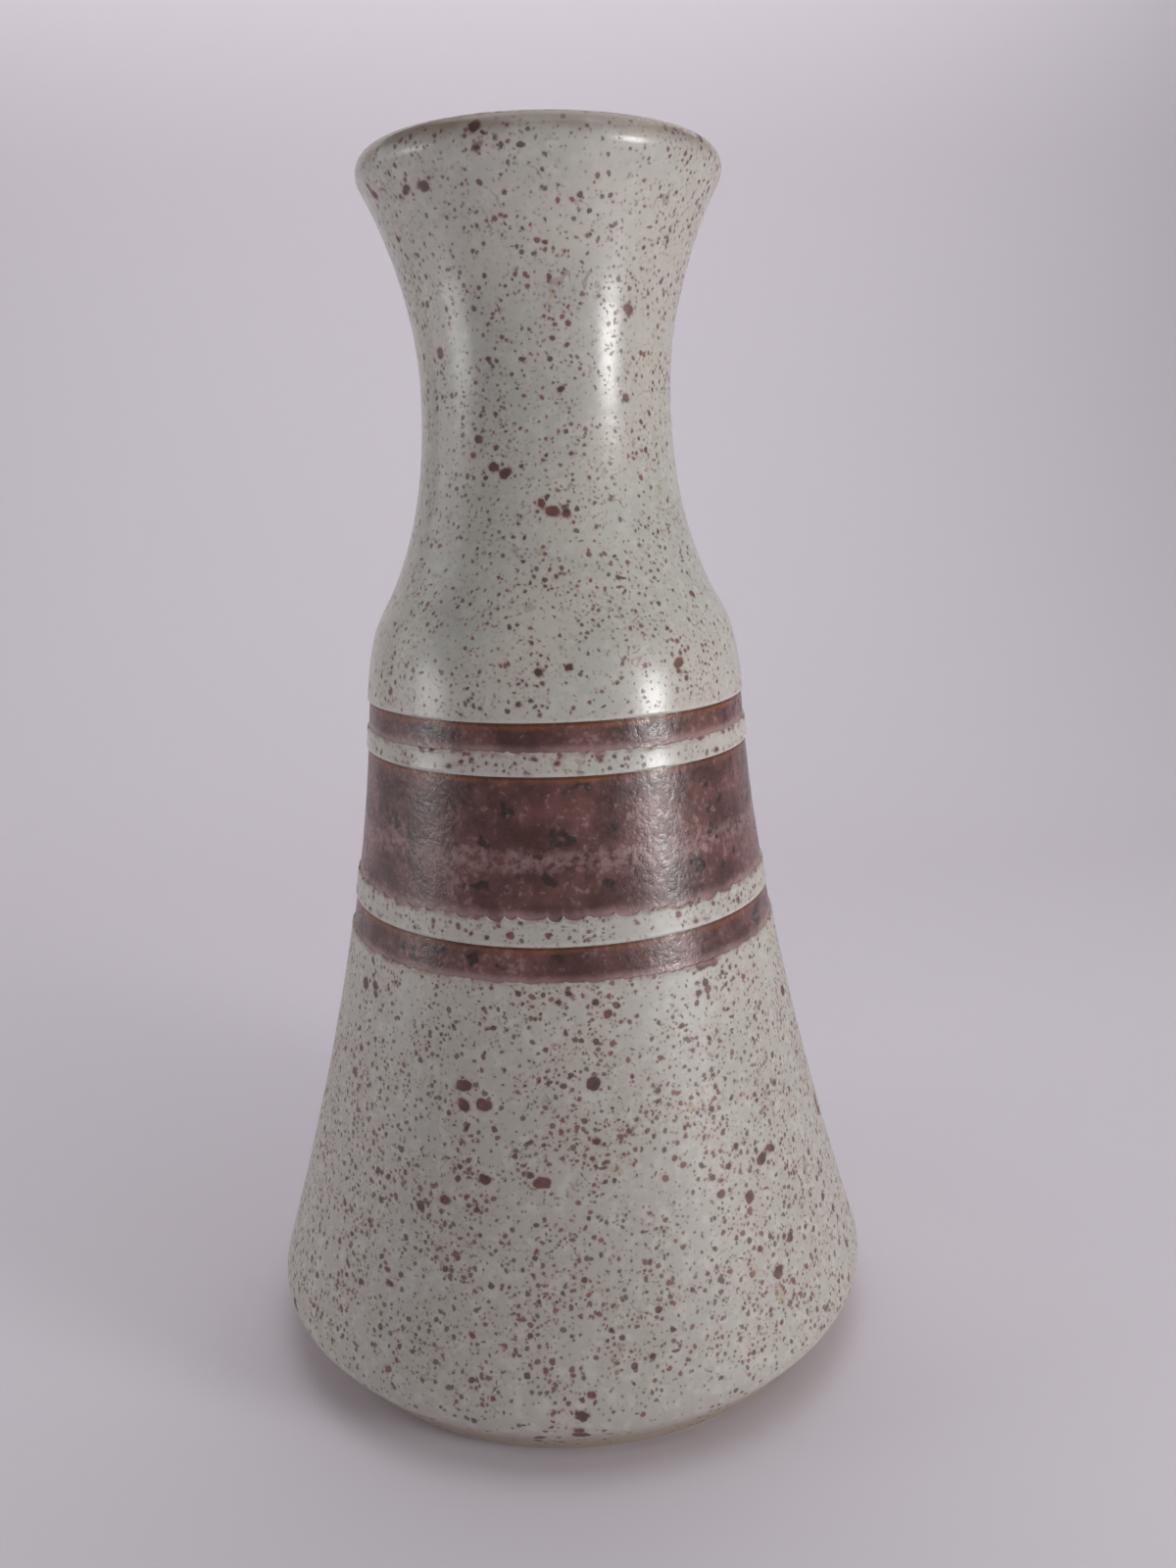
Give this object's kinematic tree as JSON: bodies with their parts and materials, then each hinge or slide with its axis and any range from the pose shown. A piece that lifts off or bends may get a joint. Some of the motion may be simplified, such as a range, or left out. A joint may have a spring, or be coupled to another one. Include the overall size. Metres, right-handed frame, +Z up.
{
  "type": "bud vase",
  "caption": "Thrown stoneware bud vase with a flared belly, bent shoulder, narrow neck and rolled lip, in speckled ivory glaze with brown bands.",
  "frame": {"origin": "centre of the foot ring, on the surface that the vase stands on", "axes": "+Z up the axis of the vase, which is its axis of symmetry; +X to the right and -Y towards a viewer at the front"},
  "size_m": [0.1128, 0.1128, 0.21],
  "materials": {
    "stoneware": "matte",
    "ivory_glaze": "satin",
    "liner_glaze": "gloss",
    "band_glaze": "satin"
  },
  "bodies": {
    "root": {"stoneware_body": "stoneware", "liner_glaze": "liner_glaze", "neck_glaze": "ivory_glaze", "upper_band": "band_glaze", "upper_gap_glaze": "ivory_glaze", "wide_band": "band_glaze", "lower_gap_glaze": "ivory_glaze", "lower_band": "band_glaze", "belly_glaze": "ivory_glaze"}
  },
  "joints": []
}
